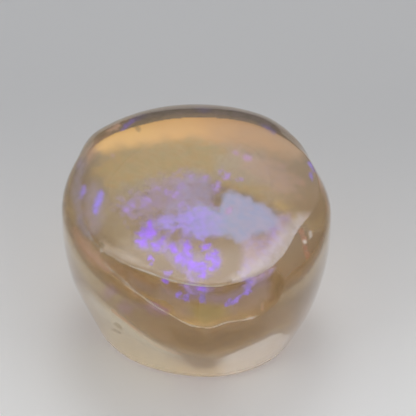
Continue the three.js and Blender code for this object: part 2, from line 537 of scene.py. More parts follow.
# A sheet lies at a level, mm above the foot, or is deep, mm under the skin along the line of sight.
# Its outline has an edge that is ragged, and its material may fray it further, with frayGrain pixels
# across the patches. Fade is how many pixels inside the edge the sheet starts and is solid. Streaks
# say how much it thins between them, and acrossTo where it has gone and is full, mm to the right.
# Its colours are two that mix in patches, or a run of them from left to right
plainSheet = {  # what a sheet has where its own settings or its kind's don't say otherwise
    "step": 1.0,  # pixels between the sheet's points
    "ragged": 3.0,  # pixels that the noise moves an edge by
    "grain": 9.0,  # pixels across the noise's patches
    "onFace": None,  # or the one face of the stone that the sheet keeps to
    "thinEnd": (0.08, 0.28),  # how squarely the skin is seen where the sheet has ended and is whole
}
# kinds of sheets
flake = {"step": 0.6, "ragged": 2.0, "grain": 2.8, "frayGrain": 3.2}
flash = {"ragged": 1.5, "grain": 4.0}
cloud = {"grain": 14.0, "fray": 40.0, "frayGrain": 14.0, "fade": (-9.0, 9.0)}
rimShade = {"ragged": 1.5, "thinEnd": (0.28, 0.5)}
# painted reflection: pale sheets just under the skin of the table and the bevel
paintedReflection = {"deep": 0.06, "ragged": 1.5, "grain": 10.0, "streaks": 0.2}
sheets = {}
sheets["violetFlakes"] = {
    **flake,
    "level": 5.3,
    "fray": 9.0,
    "fade": (-0.9, 1.7), "solid": 0.9,
    "colours": ((0.27, 0.14, 0.68), (0.38, 0.14, 1.20)),
    "outlines": [
        [(148, 222), (150, 219), (152, 222), (152, 227), (156, 229), (157, 232), (154, 236), (152, 240),
         (148, 240), (148, 244), (147, 247), (143, 248), (140, 247), (139, 244), (136, 243), (136, 240),
         (139, 239), (141, 238), (140, 236), (137, 235), (136, 233), (138, 232), (141, 231), (142, 228),
         (146, 228), (148, 226)],
        [(151, 243), (154, 242), (158, 240), (160, 240), (161, 237), (164, 235), (166, 235), (165, 239),
         (163, 242), (161, 246), (160, 249), (157, 251), (153, 251), (151, 247)],
        [(168, 245), (171, 243), (175, 243), (177, 246), (178, 250), (178, 253), (175, 254), (172, 253),
         (169, 251), (167, 248)],
        [(174, 257), (176, 254), (180, 253), (182, 251), (184, 248), (184, 244), (187, 241), (190, 243),
         (192, 248), (190, 251), (192, 254), (193, 258), (195, 261), (200, 262), (205, 262), (207, 264),
         (208, 268), (206, 270), (205, 275), (203, 278), (200, 276), (197, 273), (193, 271), (189, 269),
         (186, 266), (183, 268), (181, 265), (179, 263), (175, 263), (174, 260)],
        [(204, 258), (206, 255), (210, 255), (212, 252), (216, 250), (218, 252), (218, 256), (221, 259),
         (221, 262), (219, 266), (216, 269), (212, 271), (208, 270), (207, 268), (211, 267), (213, 264),
         (212, 261), (208, 261)],
        [(201, 247), (203, 244), (207, 243), (211, 244), (210, 248), (206, 251), (202, 250)],
        [(162, 271), (165, 270), (168, 271), (172, 271), (172, 273), (169, 275), (167, 277), (164, 275)],
        [(148, 256), (151, 256), (153, 259), (151, 261), (148, 260)],
        [(150, 262), (152, 261), (154, 264), (152, 266), (150, 265)],
    ],
}
sheets["lilacFlecks"] = {
    **flake,
    "level": 5.2,
    "fray": 16.0,
    "fade": (-1.8, 2.2), "solid": 0.55,
    "colours": ((0.33, 0.23, 0.52), (0.42, 0.26, 0.86)),
    "outlines": [
        [(162, 243), (165, 241), (168, 243), (168, 247), (166, 252), (163, 254), (161, 252), (161, 247)],
        [(178, 241), (179, 239), (183, 239), (184, 243), (182, 247), (180, 244)],
        [(141, 203), (143, 199), (147, 197), (151, 199), (151, 203), (147, 205), (143, 206)],
        [(171, 195), (172, 192), (177, 191), (180, 194), (179, 197), (174, 198)],
        [(155, 189), (158, 187), (161, 189), (159, 192), (156, 191)],
        [(164, 192), (167, 190), (170, 193), (168, 196), (165, 195)],
        [(201, 180), (203, 176), (207, 176), (209, 179), (206, 181)],
        [(187, 175), (190, 173), (193, 176), (190, 178)],
        [(178, 186), (181, 182), (184, 183), (183, 188), (180, 189)],
        [(127, 204), (131, 201), (136, 203), (133, 206), (129, 206)],
        [(122, 209), (127, 207), (130, 209), (128, 213), (123, 212)],
        [(178, 205), (181, 202), (184, 205), (182, 208)],
        [(235, 179), (240, 177), (243, 179), (239, 181)],
        [(219, 172), (221, 168), (223, 171), (221, 174)],
        [(215, 191), (215, 184), (218, 181), (221, 182), (221, 187), (219, 192)],
        [(223, 176), (226, 173), (230, 175), (229, 179), (225, 179)],
        [(259, 253), (262, 249), (268, 249), (268, 254), (262, 256)],
        [(268, 247), (270, 241), (275, 236), (278, 240), (274, 246), (270, 250)],
        [(271, 235), (271, 229), (275, 226), (277, 231), (275, 236)],
        [(250, 262), (253, 258), (257, 260), (256, 266), (252, 268)],
        [(240, 272), (248, 264), (252, 268), (246, 277), (241, 279)],
        [(186, 271), (190, 270), (193, 275), (195, 282), (190, 281), (186, 276)],
    ],
}
sheets["flakeHaze"] = {
    "level": 5.15,
    "ragged": 2.0, "grain": 4.0,
    "fray": 16.0, "frayGrain": 3.6,
    "fade": (-2.5, 4.0), "solid": 0.25,
    "colours": ((0.30, 0.23, 0.50), (0.36, 0.26, 0.74)),
    "outlines": [
        [(140, 226), (150, 216), (158, 218), (158, 232), (168, 236), (178, 240), (190, 240), (196, 252),
         (206, 254), (206, 244), (214, 246), (222, 252), (224, 264), (216, 274), (206, 280), (194, 284),
         (184, 274), (172, 266), (164, 254), (152, 254), (138, 250), (134, 240)],
        [(178, 226), (190, 230), (196, 238), (190, 243), (182, 238)],
    ],
}
sheets["violetVeil"] = {
    "level": 5.05,
    "ragged": 2.0, "grain": 5.0,
    "fray": 30.0, "frayGrain": 6.0,
    "fade": (-3.0, 7.0), "solid": 0.74,
    "streaks": 0.5,
    "acrossTo": (1.5, -0.3),
    "colours": ((0.33, 0.29, 0.82), (0.42, 0.30, 1.12)),
    "outlines": [
        [(151, 226), (155, 221), (160, 216), (170, 215), (180, 211), (188, 208), (197, 206), (206, 206),
         (220, 210), (236, 212), (250, 220), (252, 232), (240, 236), (226, 236), (212, 237), (205, 240),
         (196, 242), (190, 235), (184, 234), (180, 229), (175, 229), (168, 234), (163, 230), (157, 229)],
    ],
}
sheets["blueVeil"] = {
    "level": 4.95,
    "ragged": 2.0, "grain": 6.0,
    "fray": 14.0, "frayGrain": 6.0,
    "fade": (-1.5, 6.0), "solid": 0.64,
    "streaks": 0.3,
    "acrossTo": (-0.8, 1.0),
    "colours": ((0.32, 0.39, 0.72), (0.42, 0.41, 0.69)),
    "outlines": [
        [(180, 232), (182, 216), (190, 206), (202, 202), (211, 206), (217, 208), (220, 204), (220, 196),
         (223, 191), (230, 189), (240, 192), (250, 196), (256, 200), (266, 202), (272, 208), (277, 215),
         (283, 219), (284, 228), (280, 232), (275, 234), (268, 234), (262, 236), (252, 238), (248, 243),
         (243, 245), (237, 244), (231, 239), (222, 237), (212, 237), (204, 238), (194, 240)],
    ],
}
sheets["pinkFlecks"] = {
    **flash,
    "level": 5.1,
    "fade": (-1.5, 3.0), "solid": 0.55,
    "colours": ((0.46, 0.27, 0.50), (0.50, 0.30, 0.70)),
    "outlines": [
        [(225, 213), (226, 208), (230, 206), (233, 208), (231, 213), (228, 215)],
        [(242, 155), (246, 153), (252, 157), (252, 161), (246, 161), (243, 159)],
        [(232, 152), (236, 150), (240, 153), (238, 156), (234, 155)],
        [(110, 155), (112, 153), (115, 155), (113, 158)],
    ],
}
sheets["greyVeil"] = {
    "level": 4.85,
    "fray": 6.0, "frayGrain": 4.0,
    "fade": (-4.0, 7.0), "solid": 0.45,
    "streaks": 0.3,
    "colours": ((0.33, 0.25, 0.42), (0.34, 0.30, 0.58)),
    "outlines": [
        [(176, 182), (190, 174), (202, 172), (210, 178), (214, 190), (214, 200), (213, 212), (196, 214),
         (180, 214), (168, 218), (160, 214), (166, 206), (176, 200)],
    ],
}
sheets["roseVeil"] = {
    "level": 5.25,
    "grain": 12.0,
    "fray": 8.0, "frayGrain": 4.0,
    "fade": (-3.0, 9.0), "solid": 0.5,
    "streaks": 0.3,
    "colours": ((0.47, 0.34, 0.42), (0.46, 0.36, 0.66)),
    "outlines": [
        [(238, 240), (250, 234), (262, 232), (272, 228), (278, 214), (292, 212), (290, 232), (282, 250),
         (270, 262), (256, 270), (244, 274), (238, 266), (242, 254)],
    ],
}
sheets["mauveVeil"] = {
    "level": 4.65,
    "ragged": 4.0,
    "fray": 60.0, "frayGrain": 5.0,
    "fade": (-5.0, 6.0), "solid": 0.5,
    "streaks": 0.3,
    "colours": ((0.36, 0.27, 0.34), (0.37, 0.27, 0.52)),
    "outlines": [
        [(118, 206), (130, 196), (142, 189), (153, 183), (166, 177), (180, 173), (192, 176), (194, 196),
         (190, 210), (172, 216), (158, 216), (150, 220), (138, 218), (126, 216)],
    ],
}
sheets["rimFlashes"] = {
    **flash,
    "deep": 0.7,
    "fade": (-2.6, 4.0), "solid": 0.9,
    "colours": ((0.26, 0.19, 0.62), (0.34, 0.23, 0.95)),
    "outlines": [
        [(93, 212), (94, 205), (96, 198), (98, 193), (101, 190), (103, 194), (102, 201), (99, 208),
         (96, 215)],
        [(79, 197), (80, 191), (82, 187), (85, 186), (85, 190), (83, 194), (81, 198)],
    ],
}
# violet fire near the rim, partly real colour and kept dark there as painted shade
sheets["duskyFlashes"] = {
    **rimShade,
    "deep": 0.6,
    "step": 0.6,
    "grain": 4.0,
    "fade": (-1.8, 3.0), "solid": 0.8,
    "colours": ((0.16, 0.12, 0.38), (0.22, 0.15, 0.62)),
    "outlines": [
        [(121, 130), (124, 125), (130, 120), (137, 116), (144, 113), (146, 115), (140, 119), (132, 124),
         (126, 129), (122, 132)],
        [(309, 162), (311, 161), (314, 168), (313, 172), (310, 167)],
        [(309, 173), (311, 172), (313, 178), (312, 181)],
    ],
}
sheets["leftDusk"] = {
    "deep": 0.9,
    "ragged": 2.0,
    "fade": (-4.0, 8.0), "solid": 0.2,
    "colours": ((0.24, 0.21, 0.33), (0.30, 0.25, 0.46)),
    "outlines": [
        [(82, 192), (92, 180), (101, 184), (106, 200), (106, 218), (98, 236), (88, 234), (83, 214)],
    ],
}
# painted shade: a darker grey band just inside the left outline
sheets["leftGrey"] = {
    "deep": 0.4,
    "ragged": 2.0,
    "fade": (-3.0, 6.0), "solid": 0.45,
    "colours": ((0.21, 0.17, 0.18), (0.25, 0.20, 0.26)),
    "outlines": [
        [(71, 196), (73, 178), (78, 164), (86, 154), (88, 164), (83, 182), (82, 204), (85, 224), (92, 240),
         (84, 236), (76, 222)],
    ],
}
sheets["leftWarmth"] = {
    "deep": 0.5,
    "ragged": 2.0,
    "fade": (-4.0, 6.0), "solid": 0.45,
    "colours": ((0.38, 0.22, 0.14), (0.42, 0.25, 0.18)),
    "outlines": [
        [(74, 228), (84, 238), (94, 250), (106, 262), (110, 272), (98, 268), (84, 256), (76, 244)],
        [(86, 150), (96, 140), (110, 134), (122, 131), (112, 140), (100, 146), (92, 158), (86, 168)],
    ],
}
# painted highlight: a small pinkish highlight on the left of the far shoulder
sheets["shoulderGlow"] = {
    "deep": 0.3,
    "ragged": 1.5,
    "fade": (-2.0, 4.0), "solid": 0.6,
    "colours": ((0.50, 0.32, 0.24), (0.58, 0.38, 0.30)),
    "outlines": [
        [(106, 131), (112, 126), (118, 123), (121, 125), (118, 129), (111, 132)],
    ],
}
sheets["oliveCloud"] = {
    **cloud,
    "level": 4.4,
    "solid": 0.46,
    "streaks": 0.42,
    "colours": ((0.44, 0.27, 0.06), (0.36, 0.27, 0.08)),
    "outlines": [
        [(96, 176), (102, 150), (130, 138), (170, 134), (210, 136), (226, 152), (206, 172), (176, 176),
         (148, 176), (128, 180), (112, 188)],
        [(218, 186), (226, 180), (240, 184), (262, 192), (280, 208), (290, 218), (276, 204),
         (256, 196), (232, 188)],
    ],
}
sheets["lowerOlive"] = {
    **cloud,
    "level": 4.4,
    "fray": 20.0,
    "fade": (-5.0, 8.0), "solid": 0.4,
    "colours": ((0.33, 0.24, 0.13), (0.35, 0.27, 0.16)),
    "outlines": [
        [(98, 208), (120, 212), (134, 220), (134, 240), (140, 256), (126, 250), (108, 240), (96, 226)],
    ],
}
sheets["roseCloud"] = {
    **cloud,
    "level": 4.3,
    "solid": 0.34,
    "streaks": 0.3,
    "colours": ((0.48, 0.31, 0.24), (0.44, 0.30, 0.30)),
    "outlines": [
        [(228, 150), (250, 148), (276, 160), (296, 180), (300, 196), (286, 196), (266, 184), (244, 172)],
    ],
}
# painted shade: the dark band along the far rim, where the stone shows the shade beneath it
sheets["duskBand"] = {
    **rimShade,
    "deep": 0.25,
    "step": 0.6,
    "ragged": 1.0, "grain": 8.0,
    "fade": (-1.5, 3.0), "solid": 0.62,
    "colours": ((0.10, 0.08, 0.06), (0.14, 0.11, 0.10)),
    "outlines": [
        [(126, 114), (150, 101), (200, 96), (250, 100), (280, 112), (300, 132), (306, 148), (297, 144),
         (286, 138), (264, 126), (235, 118), (205, 114), (175, 115), (152, 119), (136, 122)],
    ],
}
# violet fire near the rim, partly real colour and kept dark there as painted shade
sheets["duskFlashes"] = {
    **rimShade,
    "deep": 0.5,
    "grain": 6.0,
    "fade": (-1.5, 4.0), "solid": 0.7,
    "colours": ((0.13, 0.10, 0.30), (0.18, 0.13, 0.42)),
    "outlines": [
        [(192, 106), (200, 104), (212, 106), (214, 112), (204, 114), (194, 111)],
        [(258, 122), (266, 123), (277, 131), (275, 135), (266, 130)],
        [(75, 170), (77, 160), (80, 154), (84, 158), (80, 168)],
        [(228, 106), (240, 108), (241, 113), (230, 111)],
    ],
}
sheets["crownFlashes"] = {
    "deep": 0.5,
    "grain": 3.6,
    "fray": 8.0, "frayGrain": 2.6,
    "fade": (-2.0, 2.6), "solid": 0.66,
    "colours": ((0.22, 0.15, 0.40), (0.31, 0.19, 0.80)),
    "outlines": [
        [(223, 303), (228, 300), (233, 300), (238, 296), (243, 294), (246, 289), (246, 284), (248, 281),
         (251, 281), (250, 288), (249, 294), (243, 295), (240, 299), (235, 303), (230, 306), (226, 306)],
        [(199, 297), (201, 294), (204, 296), (206, 300), (204, 303), (200, 302)],
        [(201, 289), (204, 287), (207, 289), (206, 292), (202, 292)],
        [(176, 294), (178, 292), (181, 294), (180, 297), (177, 297)],
        [(184, 298), (187, 295), (190, 296), (188, 300), (185, 301)],
    ],
}
# painted shade: darker brown zones to the left and right in the crown band
sheets["crownBrown"] = {
    "deep": 0.8,
    "fade": (-4.0, 7.0), "solid": 0.34,
    "colours": ((0.26, 0.19, 0.15), (0.29, 0.21, 0.18)),
    "outlines": [
        [(130, 274), (150, 284), (172, 296), (190, 304), (196, 318), (182, 318), (160, 306),
         (142, 294), (128, 282)],
        [(226, 306), (244, 300), (262, 288), (272, 282), (270, 298), (256, 308), (238, 314), (224, 316)],
    ],
}
# painted shade: a dark greyish band just under the table's front rim
sheets["crownDusk"] = {
    "deep": 0.9,
    "grain": 8.0,
    "fade": (-4.0, 8.0), "solid": 0.26,
    "colours": ((0.22, 0.18, 0.24), (0.26, 0.20, 0.34)),
    "outlines": [
        [(158, 284), (176, 288), (196, 292), (222, 293), (244, 287), (266, 276), (270, 284), (256, 294),
         (240, 302), (222, 306), (200, 302), (176, 303), (160, 296)],
    ],
}
# painted light: the amber band along the far rim, light that comes through the stone tinted by its depth
sheets["amberGlow"] = {
    "level": 6.15,
    "grain": 16.0,
    "fray": 12.0, "frayGrain": 14.0,
    "fade": (-5.0, 11.0), "solid": 0.62,
    "runAcross": (-3.6, 4.0),
    "run": [(0.0, (0.78, 0.46, 0.14)), (0.45, (0.66, 0.36, 0.12)), (0.75, (0.48, 0.27, 0.12)),
            (1.0, (0.38, 0.24, 0.13))],
    "onFace": "table",
    "outlines": [
        [(94, 152), (96, 142), (104, 130), (114, 121), (130, 114), (150, 110), (175, 106), (200, 105),
         (230, 107), (255, 112), (275, 119), (292, 132), (306, 150), (300, 160), (280, 158),
         (262, 153), (240, 147), (215, 146), (195, 141), (170, 142), (140, 146), (118, 150), (104, 156)],
    ],
}
sheets["duskPatches"] = {
    "deep": 0.8,
    "fade": (-3.0, 6.0), "solid": 0.2,
    "colours": ((0.26, 0.13, 0.18), (0.28, 0.15, 0.28)),
    "outlines": [
        [(114, 304), (125, 300), (134, 307), (129, 316), (118, 313)],
        [(138, 305), (152, 302), (163, 302), (172, 310), (165, 319), (150, 314)],
        [(102, 290), (112, 284), (120, 292), (112, 302), (104, 300)],
    ],
}
sheets["olivePatch"] = {
    "deep": 1.4,
    "grain": 7.0,
    "fade": (-4.0, 9.0), "solid": 0.38,
    "colours": ((0.25, 0.20, 0.06), (0.29, 0.23, 0.08)),
    "outlines": [
        [(182, 304), (205, 301), (224, 303), (234, 311), (224, 320), (206, 326), (190, 320)],
    ],
}
# painted shade: the dark gap low in the middle of the front bevel
sheets["underBrown"] = {
    "deep": 0.4,
    "ragged": 2.0,
    "fade": (-3.0, 6.0), "solid": 0.62,
    "colours": ((0.15, 0.07, 0.0), (0.19, 0.10, 0.01)),
    "outlines": [
        [(176, 350), (190, 355), (203, 358), (215, 358), (225, 354), (222, 362), (214, 368), (204, 370),
         (194, 368), (185, 361)],
    ],
}
# painted light: a thin orange line of light just below the bevel's top edge on the left
sheets["edgeGlow"] = {
    "deep": 0.08,
    "step": 0.6,
    "ragged": 0.3, "grain": 6.0,
    "fade": (-0.8, 0.9), "solid": 0.42,
    "colours": ((0.36, 0.16, 0.04), (0.42, 0.20, 0.07)),
    "outlines": [
        [(112, 309), (131, 324), (144, 336), (158, 345), (173, 351), (181, 354), (181, 355), (172, 353),
         (157, 347), (143, 338), (130, 326), (111, 311)],
    ],
}
# painted shade: the darker brown of the body band at the front, between the crown and the bevel
sheets["brownPatch"] = {
    "deep": 1.2,
    "fade": (-4.0, 8.0), "solid": 0.5,
    "colours": ((0.14, 0.07, 0.01), (0.18, 0.10, 0.02)),
    "outlines": [
        [(168, 326), (186, 330), (206, 334), (230, 330), (256, 322), (266, 326), (256, 338), (234, 349),
         (208, 356), (186, 351), (172, 342)],
    ],
}
# painted shade: a darker amber-brown zone on the left of the crown band
sheets["crownAmber"] = {
    "deep": 1.2,
    "fade": (-4.0, 8.0), "solid": 0.5,
    "colours": ((0.22, 0.12, 0.045), (0.27, 0.145, 0.06)),
    "outlines": [
        [(108, 262), (126, 266), (145, 274), (160, 284), (154, 296), (140, 294), (126, 284), (114, 274)],
    ],
}
# painted reflection: pale crescents just under the skin of the table and the bevel, each sheet only on the
# face that it names
sheets["palestTable"] = {
    **paintedReflection,
    "onFace": "table",
    "fade": (-1.0, 11.0), "solid": 0.36,
    "streaks": 0.3,
    "acrossTo": (-0.4, 2.2),
    "colours": ((0.58, 0.51, 0.48), (0.66, 0.60, 0.62)),
    "outlines": [
        [(176, 281), (196, 282), (214, 280), (226, 275), (236, 269), (248, 261), (258, 253), (266, 244),
         (273, 235), (279, 227), (286, 220), (296, 210), (316, 210), (312, 244), (294, 266), (278, 280),
         (256, 292), (236, 299), (196, 301), (176, 299)],
    ],
}
sheets["paleTable"] = {
    **paintedReflection,
    "onFace": "table",
    "fade": (-1.0, 7.0), "solid": 0.26,
    "acrossTo": (-4.05, -3.6),
    "colours": ((0.52, 0.43, 0.34), (0.60, 0.50, 0.42)),
    "outlines": [
        [(96, 232), (104, 237), (114, 244), (124, 249), (134, 254), (144, 260), (154, 265), (164, 269),
         (174, 273), (186, 277), (198, 280), (214, 281), (232, 280), (232, 296), (200, 296), (182, 292),
         (160, 287), (140, 279), (118, 271), (96, 260)],
    ],
}
sheets["paleBevel"] = {
    **paintedReflection,
    "onFace": "bevel",
    "fade": (-1.0, 5.0), "solid": 0.38,
    "acrossTo": (-0.2, -1.6),
    "colours": ((0.42, 0.355, 0.24), (0.53, 0.435, 0.28)),
    "outlines": [
        [(66, 270), (90, 286), (100, 294), (120, 309), (140, 324), (160, 336), (180, 345), (214, 350),
         (214, 390), (150, 392), (90, 360), (60, 300)],
    ],
}
sheets["palestBevel"] = {
    **paintedReflection,
    "onFace": "bevel",
    "fade": (-1.0, 5.0), "solid": 0.38,
    "acrossTo": (0.6, 1.5),
    "colours": ((0.60, 0.53, 0.44), (0.68, 0.61, 0.54)),
    "outlines": [
        [(204, 352), (222, 348), (240, 340), (260, 330), (280, 324), (298, 324), (300, 346), (270, 380),
         (230, 396), (204, 396)],
    ],
}
sheets["nickMarks"] = {
    "deep": 0.02,
    "ragged": 1.2, "grain": 3.0,
    "fade": (-1.2, 1.8), "solid": 0.3,
    "colours": ((0.20, 0.15, 0.09), (0.26, 0.20, 0.13)),
    "outlines": [
        [(113, 323), (116, 322), (120, 325), (124, 329), (122, 330), (117, 327)],
        [(112, 329), (115, 328), (119, 331), (121, 334), (118, 333), (114, 331)],
        [(99, 244), (102, 242), (105, 245), (103, 249), (100, 248)],
        [(135, 127), (138, 124), (141, 130), (139, 133), (136, 130)],
    ],
}
# painted highlights: small pale glints just under the skin
sheets["glints"] = {
    "deep": 0.03,
    "ragged": 0.8, "grain": 3.0,
    "fade": (-1.4, 1.6), "solid": 0.5,
    "colours": ((0.50, 0.44, 0.38), (0.68, 0.62, 0.56)),
    "outlines": [
        [(303, 241), (305, 240), (307, 242), (305, 244)],
        [(100, 249), (102, 248), (102, 251), (101, 252)],
        [(309, 232), (311, 231), (312, 236), (310, 239)],
        [(248, 318), (251, 317), (254, 318), (251, 319)],
    ],
}
sheets["emberGlints"] = {
    "deep": 0.12,
    "ragged": 1.6, "grain": 3.0,
    "fade": (-2.4, 2.4), "solid": 0.5,
    "colours": ((0.34, 0.14, 0.07), (0.42, 0.19, 0.11)),
    "outlines": [
        [(299, 231), (302, 229), (304, 233), (302, 236)],
        [(301, 237), (304, 235), (306, 239), (303, 241)],
        [(303, 246), (306, 244), (307, 249), (305, 250)],
        [(305, 252), (308, 251), (309, 257), (307, 258)],
    ],
}
# painted highlights: a pale short streak and a bright spot under the crown on the right
sheets["paleGlint"] = {
    "deep": 0.12,
    "ragged": 1.0, "grain": 3.0,
    "fade": (-1.8, 2.2), "solid": 0.3,
    "colours": ((0.44, 0.30, 0.20), (0.50, 0.36, 0.25)),
    "outlines": [
        [(261, 304), (263, 303), (264, 309), (263, 311), (261, 309)],
        [(246, 318), (250, 316), (256, 317), (251, 320)],
    ],
}


# seeded noise from -1 to 1 over the picture's plane, its patches about size across
def patchNoise(column, row, size, seed):
    side, octaves = 64, 3
    lattice = np.random.default_rng(seed).uniform(-1, 1, (side, side))
    total, weight = 0, 0
    for octave in range(octaves):
        u, v = column * 2**octave / size, row * 2**octave / size
        i, j = np.floor(u).astype(int), np.floor(v).astype(int)
        s, t = u - i, v - j
        s, t = s * s * (3 - 2 * s), t * t * (3 - 2 * t)
        corner = lambda di, dj: lattice[(i + di) % side, (j + dj) % side]
        near = corner(0, 0) * (1 - s) + corner(1, 0) * s
        far = corner(0, 1) * (1 - s) + corner(1, 1) * s
        total = total + (near * (1 - t) + far * t) * 0.5**octave
        weight += 0.5**octave
    return total / weight


def isOnFace(face, skin):
    if face == "table":
        return skin[..., 2] > stoneForm["tableHeight"] - fire["faceMargin"]
    if face == "bevel":
        edge = measuresAt(roundStone(skin)[0])["bevelEdge"]
        return skin[..., 2] < edge - fire["faceMargin"]
    return np.ones(skin.shape[:-1], bool)


# how far, in pixels, a sheet's mesh goes past its edge to leave the material room to fray it
def frayMargin(settings):
    return fire["frayRoom"] * settings.get("fray", 0)


# how many pixels inside the ragged edge a place is
def sheetDepth(settings, column, row):
    depth = np.full(column.shape, -farAway)
    for outline in settings["outlines"]:
        depth = np.maximum(depth, insideOutline(outline, column, row))
    noise = patchNoise(column, row, settings["grain"], fire["seed"])
    return depth + settings["ragged"] * noise - settings["fade"][0] + frayMargin(settings)


# the picture's places over a sheet's outlines, with some room round them
def sheetGrid(settings):
    corners = np.vstack([np.array(outline, float) for outline in settings["outlines"]])
    room = fire["room"] + settings["ragged"] - settings["fade"][0] + frayMargin(settings)
    low, high = corners.min(0) - room, corners.max(0) + room
    columns, rows = (np.arange(low[axis], high[axis], settings["step"]) for axis in (0, 1))
    return np.meshgrid(columns, rows, indexing="ij")


# the cells of the grid that the sheet has, none of which touch at a corner alone
def sheetCells(depth, seen):
    cells = (depth[:-1, :-1] + depth[1:, :-1] + depth[:-1, 1:] + depth[1:, 1:]) > 0
    cells &= seen[:-1, :-1] & seen[1:, :-1] & seen[:-1, 1:] & seen[1:, 1:]
    for _ in range(fire["joinRounds"]):
        falling = cells[:-1, :-1] & cells[1:, 1:] & ~cells[1:, :-1] & ~cells[:-1, 1:]
        rising = ~cells[:-1, :-1] & ~cells[1:, 1:] & cells[1:, :-1] & cells[:-1, 1:]
        if not (falling.any() or rising.any()):
            break
        cells[1:, :-1] |= falling
        cells[:-1, :-1] |= rising
    return cells


# the points that the cells use, and those that have a used cell on all four sides
def pointsOf(cells):
    blocks = [np.pad(cells, ((di, 1 - di), (dj, 1 - dj))) for di in (0, 1) for dj in (0, 1)]
    return np.any(blocks, axis=0), np.all(blocks, axis=0)


# the points of the sheet's rim, moved to where the depth is 0
def drawRim(settings, rim, column, row):
    reach = fire["rimReach"]
    depthBeside = lambda right, down: sheetDepth(settings, column + right, row + down)
    for _ in range(fire["rimRounds"]):
        slopeColumn = (depthBeside(reach, 0) - depthBeside(-reach, 0)) / (2 * reach)
        slopeRow = (depthBeside(0, reach) - depthBeside(0, -reach)) / (2 * reach)
        steep = np.maximum(slopeColumn**2 + slopeRow**2, fire["rimFlattest"])
        move = np.where(rim, -depthBeside(0, 0) / steep, 0)
        column = column + np.clip(move * slopeColumn, -reach, reach) * settings["step"]
        row = row + np.clip(move * slopeRow, -reach, reach) * settings["step"]
    return column, row


# where lines of sight that go into the stone reach a sheet
def placesInside(settings, skin, inside):
    if "deep" in settings:
        fall = np.full(len(skin), settings["deep"])
    else:
        turnAcross, turnBack = fire["waveTurns"]
        wave = np.sin(skin[:, 0] * turnAcross) + np.cos(skin[:, 1] * turnBack + fire["waveStart"])
        fall = (skin[:, 2] - settings["level"] - fire["wave"] * wave) / -inside[:, 2]
    for _ in range(fire["drawingsBack"]):  # a point near the far skin is drawn back along its line
        tooNear = outsideAt(skin + inside * fall[:, None]) > -fire["skinGap"]
        fall = np.where(tooNear, fall * fire["drawnBack"], fall)
    return skin + inside * fall[:, None]


# the faces of two layers of cells, closed along their rims
def slabFaces(cells, number, count):
    isKept = lambda i, j: 0 <= i < cells.shape[0] and 0 <= j < cells.shape[1] and cells[i, j]
    faces = []
    for i, j in np.argwhere(cells):
        a, b, c, d = number[i, j], number[i + 1, j], number[i + 1, j + 1], number[i, j + 1]
        faces.append((a, d, c, b))
        faces.append((a + count, b + count, c + count, d + count))
        for (di, dj), first, second in (((0, -1), a, b), ((1, 0), b, c), ((0, 1), c, d), ((-1, 0), d, a)):
            if not isKept(i + di, j + dj):
                faces.append((first, second, second + count, first + count))
    return faces


# a closed thin sheet where the depth is above 0, with that depth kept on its points
def sheetMesh(name, settings):
    column, row = sheetGrid(settings)
    depth = sheetDepth(settings, column, row)
    near = depth > -fire["lookPast"]
    skin, inside = np.zeros((2, *depth.shape, 3))
    facing = np.zeros(depth.shape)
    skin[near], inside[near], facing[near] = lookInto(column[near], row[near])
    seen = near.copy()
    meets = np.abs(outsideAt(skin[near])) < sight["meets"]
    seen[near] = meets & isOnFace(settings["onFace"], skin[near])
    cells = sheetCells(depth, seen)
    used, inner = pointsOf(cells)
    column, row = drawRim(settings, used & ~inner & (depth < fire["rimDepth"]), column, row)
    depth = np.maximum(sheetDepth(settings, column, row)[used], 0)
    skinMoved, insideMoved, _ = lookInto(column[used], row[used])
    meets = (np.abs(outsideAt(skinMoved)) < sight["meetsFinely"])[:, None]
    skin = np.where(meets, skinMoved, skin[used])
    inside = np.where(meets, insideMoved, inside[used])
    places = placesInside(settings, skin, inside)
    print(name, "stays", round(-outsideAt(places).max(), 2), "mm under the skin")
    number = np.full(used.shape, -1)
    number[used] = np.arange(len(places))
    lift = [0, 0, fire["thickness"] / 2]
    points = np.vstack([places + lift, places - lift]) * mm
    mesh = bpy.data.meshes.new(name)
    mesh.from_pydata(points.tolist(), [], slabFaces(cells, number, len(places)))
    ended, whole = settings["thinEnd"]
    core = depth * np.clip((facing[used] - ended) / (whole - ended), 0, 1)
    keepOnPoints(mesh, "core", np.tile(core, 2))
    return mesh


# the sheet's colour, which drifts from left to right or is patchy
def sheetColour(wiring, place, settings):
    if "run" in settings:
        low, high = settings["runAcross"]
        share = (wiring.along(place, 0) - low * mm) * (1 / (high - low) / mm)
        share = share + (wiring.noise(place, fire["runPatch"], detail=3.0) - 0.5) * fire["runSway"]
        return wiring.add("ShaderNodeValToRGB", {"stops": settings["run"]}, {"Fac": share})
    patchy = wiring.noise(place, pixelsPerMetre / fire["patchGrain"], detail=4.0)
    return wiring.mixColour(wiring.ease(patchy, *fire["patchFrom"]), *settings["colours"])


# how much of the sheet shows, which is 0 at its frayed edge
def sheetCover(wiring, place, settings):
    core = wiring.attribute("core")
    if "fray" in settings:
        fray = wiring.noise(place, pixelsPerMetre / settings["frayGrain"], detail=3.0, roughness=0.6)
        core = core + (fray - 0.5) * settings["fray"] - frayMargin(settings)
    start, solidAt = settings["fade"]
    cover = wiring.ease(core, 0.0, solidAt - start) * settings["solid"]
    if "acrossTo" in settings:
        cover = cover * wiring.easeMm(wiring.along(place, 0), *settings["acrossTo"])
    if "streaks" in settings:  # long thin streaks that run to the right and down
        length, width = fire["streakSize"]
        brushed = wiring.add("ShaderNodeMapping", {"vector_type": "TEXTURE"}, {
            "Vector": place,
            "Rotation": (0, 0, math.radians(fire["streakTurn"])),
            "Scale": (length * mm, width * mm, mm),
        })
        gaps = wiring.ease(wiring.noise(brushed, 1.0, detail=3.0), *fire["streakFrom"])
        cover = cover * (1 - settings["streaks"] * gaps)
    return cover


